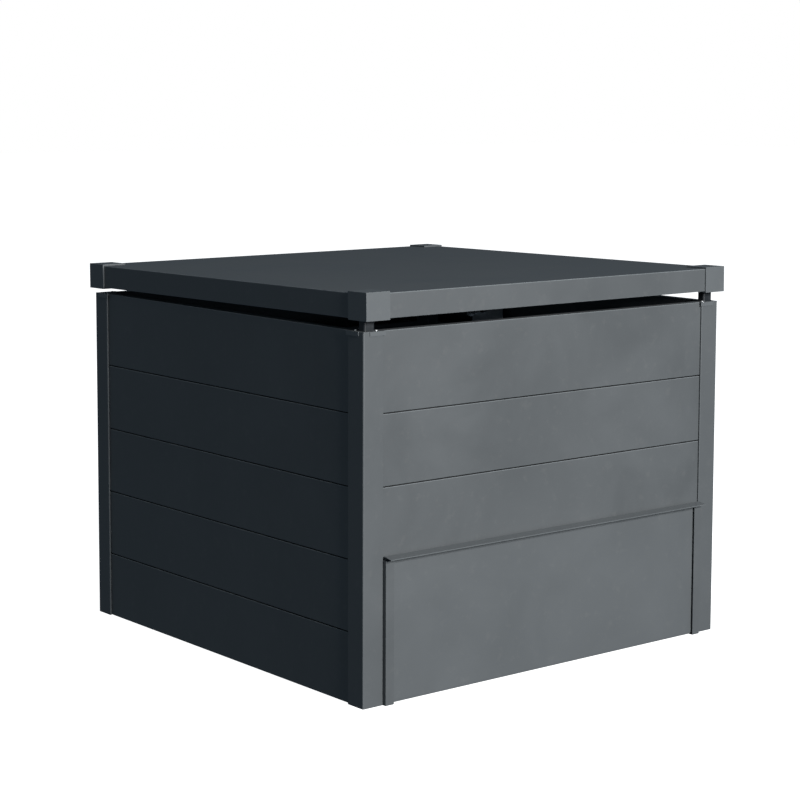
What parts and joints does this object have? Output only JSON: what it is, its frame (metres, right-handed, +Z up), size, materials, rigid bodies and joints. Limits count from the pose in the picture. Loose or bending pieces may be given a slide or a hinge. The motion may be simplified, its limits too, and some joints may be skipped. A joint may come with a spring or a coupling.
{
  "type": "deck storage box",
  "caption": "Square sheet-metal garden box of stacked folded boards, with a rear-hinged ventilated lid on a strut and a lift-up flap low in its front.",
  "frame": {"origin": "middle of the footprint, on the ground under the posts", "axes": "+Z up, -Y out of the front with the flap, +X to the right of someone who faces the front"},
  "size_m": [1.0088, 1.046, 0.8255],
  "materials": {
    "board_paint": "satin anthracite powder coat",
    "post_paint": "satin anthracite powder coat",
    "lid_paint": "satin anthracite powder coat",
    "cap_paint": "satin anthracite powder coat, a shade lighter",
    "inner_paint": "matt anthracite powder coat",
    "zinc_plate": "bright zinc plate",
    "black_zinc": "black-passivated zinc",
    "black_plastic": "moulded, fine grain",
    "chromed_rod": "ground and chromed",
    "black_tube": "gloss black"
  },
  "bodies": {
    "box": {"corner_post_front_left": "post_paint", "corner_post_front_right": "post_paint", "corner_post_back_left": "post_paint", "corner_post_back_right": "post_paint", "post_cap_front_left": "cap_paint", "post_cap_front_right": "cap_paint", "post_cap_back_left": "cap_paint", "post_cap_back_right": "cap_paint", "inner_angle_front_left": "inner_paint", "inner_angle_front_right": "inner_paint", "inner_angle_back_left": "inner_paint", "inner_angle_back_right": "inner_paint", "left_board_1": "board_paint", "left_board_2": "board_paint", "left_board_3": "board_paint", "left_board_4": "board_paint", "left_board_5": "board_paint", "right_board_1": "board_paint", "right_board_2": "board_paint", "right_board_3": "board_paint", "right_board_4": "board_paint", "right_board_5": "board_paint", "back_board_1": "board_paint", "back_board_2": "board_paint", "back_board_3": "board_paint", "back_board_4": "board_paint", "back_board_5": "board_paint", "front_board_3": "board_paint", "front_board_4": "board_paint", "front_board_5": "board_paint", "board_screws": "black_zinc", "post_cap_screws": "zinc_plate", "flap_guide_left": "board_paint", "flap_guide_right": "board_paint", "guide_screws": "black_zinc", "lid_buffer_left": "black_plastic", "lid_buffer_right": "black_plastic", "hinge_body_leaf_left": "inner_paint", "hinge_body_leaf_right": "inner_paint", "hinge_pin_left": "zinc_plate", "hinge_pin_right": "zinc_plate", "hinge_body_screws": "black_zinc", "strut_wall_bracket": "zinc_plate", "strut_wall_screws": "black_zinc"},
    "lid": {"lid_panel": "lid_paint", "lid_rib_left": "lid_paint", "lid_rib_right": "lid_paint", "lid_cap_front_left": "cap_paint", "lid_cap_front_right": "cap_paint", "lid_cap_back_left": "cap_paint", "lid_cap_back_right": "cap_paint", "hinge_lid_leaf_left": "inner_paint", "hinge_lid_leaf_right": "inner_paint", "hinge_lid_screws": "black_zinc", "strut_lid_bracket": "zinc_plate"},
    "flap": {"flap": "board_paint"},
    "strut_rod": {"strut_rod": "chromed_rod"},
    "strut_tube": {"strut_tube": "black_tube"}
  },
  "joints": [
    {"name": "lid_hinge", "type": "hinge", "parent": "box", "child": "lid", "pos_m": [0, 0.518, 0.748], "axis": [-1, 0, 0], "range_deg": [0, 80]},
    {"name": "flap_slide", "type": "slide", "parent": "box", "child": "flap", "axis": [0, 0, 1], "range_m": [0, 0.25]},
    {"name": "strut_swing", "type": "hinge", "parent": "box", "child": "strut_rod", "pos_m": [0.454, 0.285, 0.655], "axis": [-1, 0, 0], "range_deg": [0, 84.8]},
    {"name": "strut_extend", "type": "slide", "parent": "strut_rod", "child": "strut_tube", "axis": [0, -0.9495, 0.3136], "range_m": [0, 0.321]}
  ],
  "couplings": [
    {"joint": "strut_swing", "follows": "lid_hinge", "ratio": 1.0544},
    {"joint": "strut_extend", "follows": "lid_hinge", "m_per_rad": 0.22902}
  ]
}
